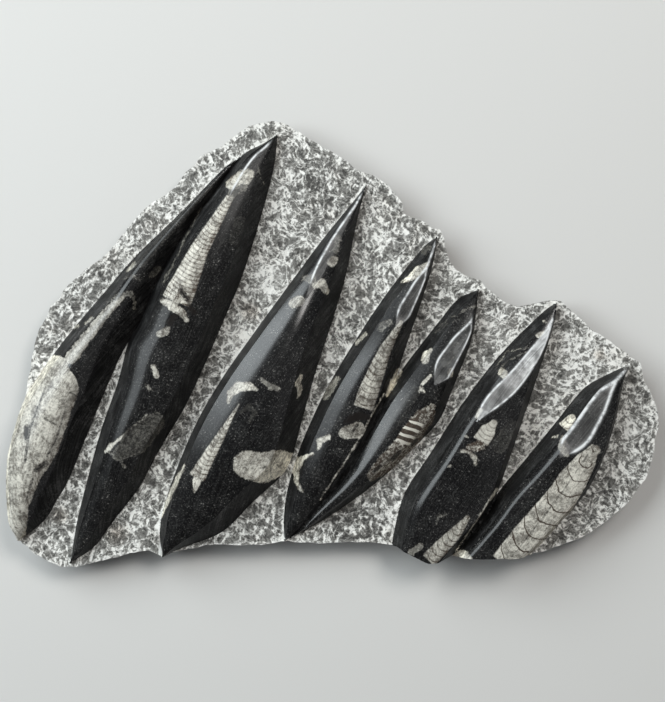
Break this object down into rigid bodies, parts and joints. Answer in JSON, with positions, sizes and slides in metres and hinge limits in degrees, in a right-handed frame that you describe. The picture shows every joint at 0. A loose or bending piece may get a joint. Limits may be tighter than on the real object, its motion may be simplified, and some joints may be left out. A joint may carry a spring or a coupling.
{
  "type": "orthoceras fossil plaque",
  "caption": "Flat-backed slab of black fossil limestone with polished spindle-shaped ridges over straight cone-shaped shells on a rough tooled ground.",
  "frame": {"origin": "middle of the bounding box, on the flat back", "axes": "+Z out of the carved face, +X along the slab's length towards its rounded end, +Y up the face towards the peak; the slab lies on its back"},
  "size_m": [0.3, 0.206, 0.037],
  "materials": {
    "limestone": "polished ridges on a rough tooled ground"
  },
  "bodies": {
    "root": {"fossil_slab": "limestone"}
  },
  "joints": []
}
